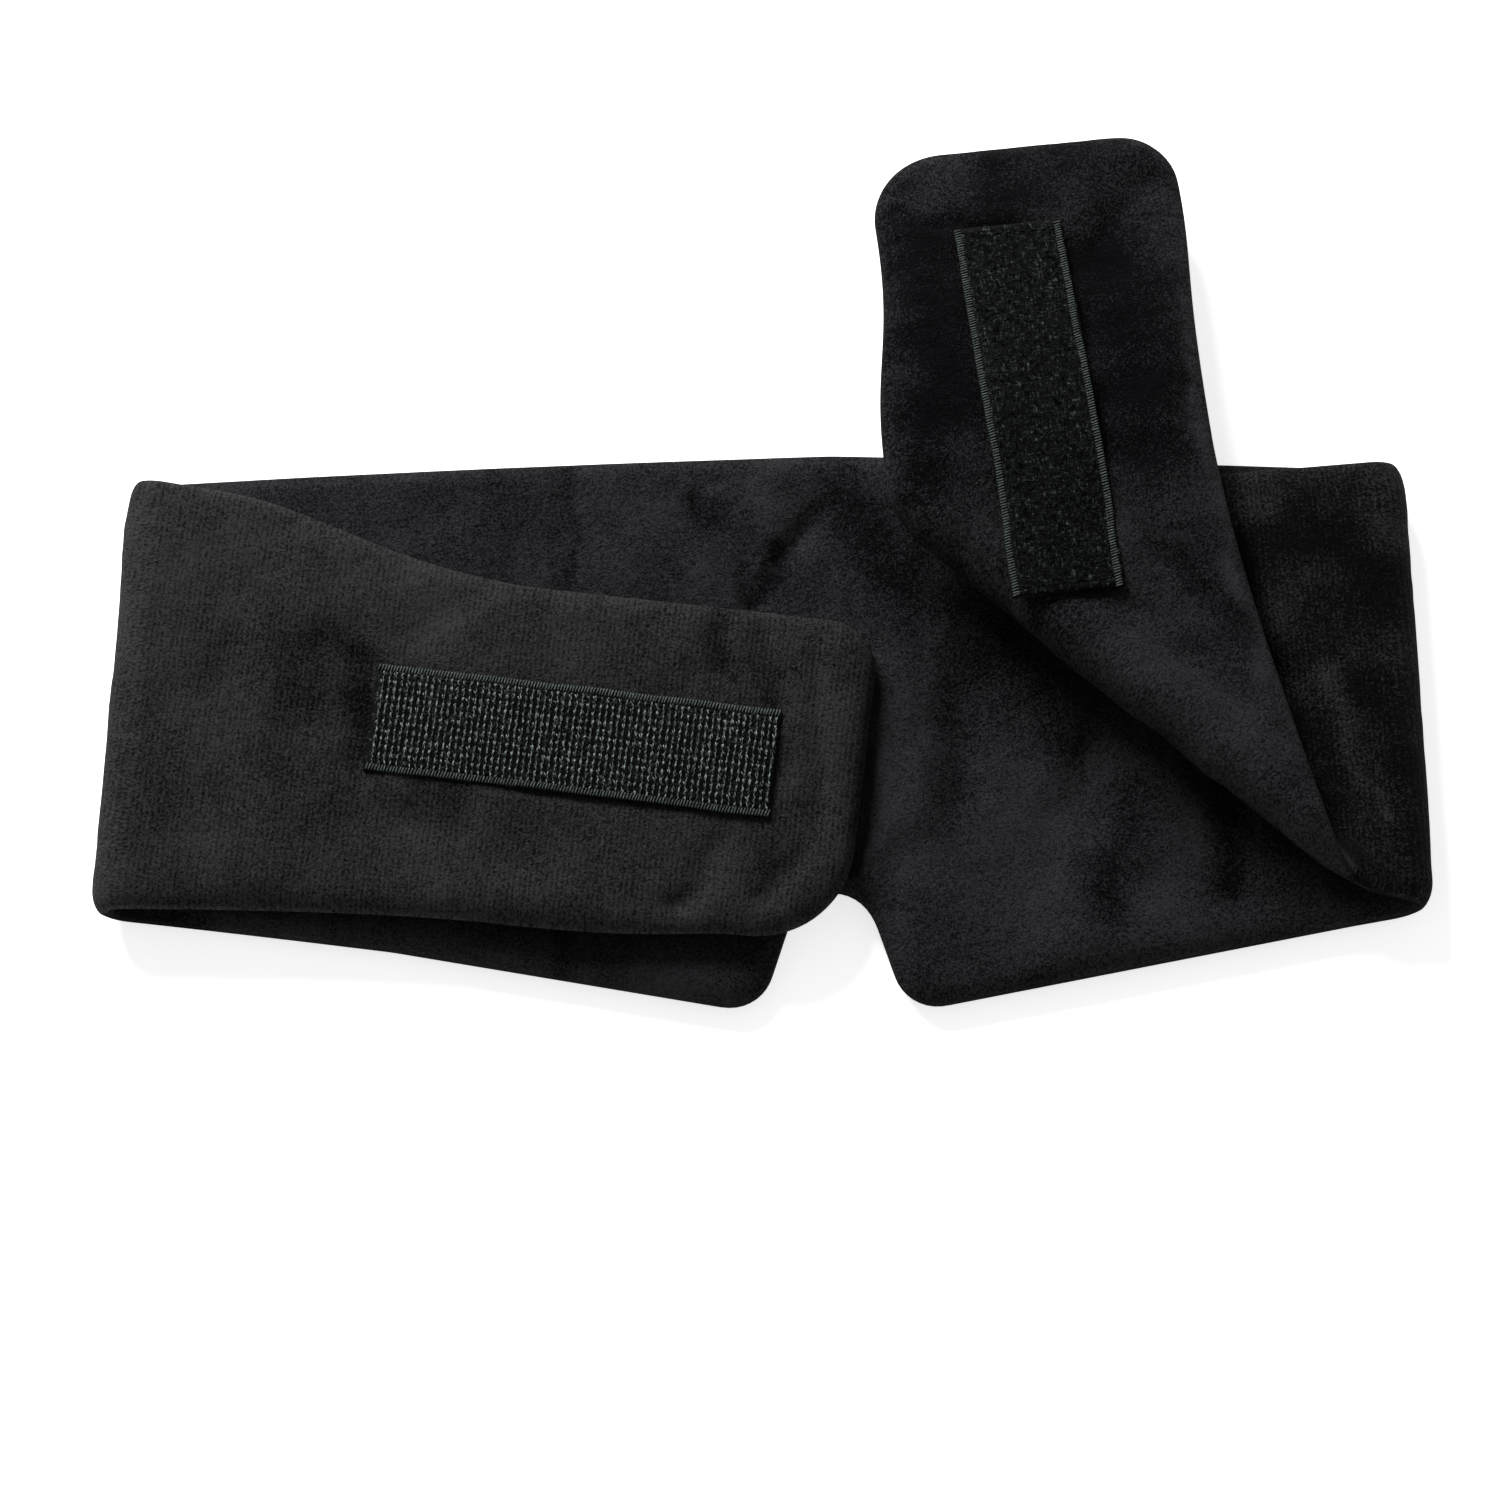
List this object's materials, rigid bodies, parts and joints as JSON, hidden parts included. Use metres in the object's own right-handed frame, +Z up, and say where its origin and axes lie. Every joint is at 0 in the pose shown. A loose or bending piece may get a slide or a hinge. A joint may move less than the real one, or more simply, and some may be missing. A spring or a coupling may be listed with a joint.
{
  "type": "padded wraparound sleep mask",
  "caption": "Padded plush sleep mask with a nose notch, two folded-in wraparound straps and a hook-and-loop closure.",
  "frame": {"origin": "on the underside of the mask, where the nose line crosses the band's centre line; the part lies on Z = 0", "axes": "+X along the band to the wearer-side right, +Y towards the forehead edge, +Z up out of the face lining"},
  "size_m": [0.3031, 0.2073, 0.0342],
  "materials": {
    "shell_plush": "short black velvet plush with a fine knitted rib",
    "lining_plush": "smooth black plush with a soft nap",
    "wadding": "soft polyester wadding",
    "closure_tape": "black woven nylon tape with ribbed selvedges",
    "nylon_hooks": "black nylon monofilament hooks, slightly glossy",
    "loop_pile": "curly black nylon pile",
    "thread": "black polyester thread"
  },
  "bodies": {
    "mask": {"outer_shell": "shell_plush", "mask_wadding": "wadding", "face_lining_left": "lining_plush", "face_lining_centre": "lining_plush", "lining_seam_thread": "thread"},
    "left_spine": {"left_fold_shell": "shell_plush", "left_fold_lining": "lining_plush", "left_fold_wadding": "wadding"},
    "left_strap": {"left_strap_shell": "shell_plush", "left_strap_lining": "lining_plush", "left_strap_wadding": "wadding", "hook_tape": "closure_tape", "hook_field": "nylon_hooks", "hook_tape_stitching": "thread"},
    "right_spine": {"right_fold_shell": "shell_plush", "right_fold_lining": "lining_plush", "right_fold_wadding": "wadding"},
    "right_strap": {"right_strap_shell": "shell_plush", "right_strap_lining": "lining_plush", "right_strap_wadding": "wadding"},
    "tab_spine": {"tab_fold_shell": "shell_plush", "tab_fold_lining": "lining_plush", "tab_fold_wadding": "wadding"},
    "right_tab": {"right_tab_shell": "shell_plush", "right_tab_lining": "lining_plush", "right_tab_wadding": "wadding", "loop_tape": "closure_tape", "loop_pile": "loop_pile", "loop_tape_stitching": "thread"}
  },
  "joints": [
    {"name": "left_fold", "type": "hinge", "parent": "mask", "child": "left_spine", "pos_m": [-0.1602, -0.006, 0.0042], "axis": [-0.0541, -0.9985, 0], "range_deg": [0, 90]},
    {"name": "left_fold_roll", "type": "hinge", "parent": "left_spine", "child": "left_strap", "pos_m": [-0.1602, -0.006, 0.0132], "axis": [-0.0541, -0.9985, 0], "range_deg": [0, 90]},
    {"name": "right_fold", "type": "hinge", "parent": "mask", "child": "right_spine", "pos_m": [0.1301, -0.0066, 0.0042], "axis": [-0.0314, 0.9995, 0], "range_deg": [0, 84]},
    {"name": "right_fold_roll", "type": "hinge", "parent": "right_spine", "child": "right_strap", "pos_m": [0.13034, -0.00659, 0.0132], "axis": [-0.0314, 0.9995, 0], "range_deg": [0, 84]},
    {"name": "tab_fold", "type": "hinge", "parent": "right_strap", "child": "tab_spine", "pos_m": [0.07012, -0.01017, 0.01636], "axis": [0.7706, -0.6361, -0.0393], "range_deg": [0, 84]},
    {"name": "tab_fold_roll", "type": "hinge", "parent": "tab_spine", "child": "right_tab", "pos_m": [0.07059, -0.01015, 0.02534], "axis": [0.7706, -0.6361, -0.0393], "range_deg": [0, 84]}
  ],
  "couplings": [
    {"joint": "left_fold_roll", "follows": "left_fold", "ratio": 1},
    {"joint": "right_fold_roll", "follows": "right_fold", "ratio": 1},
    {"joint": "tab_fold_roll", "follows": "tab_fold", "ratio": 1}
  ]
}
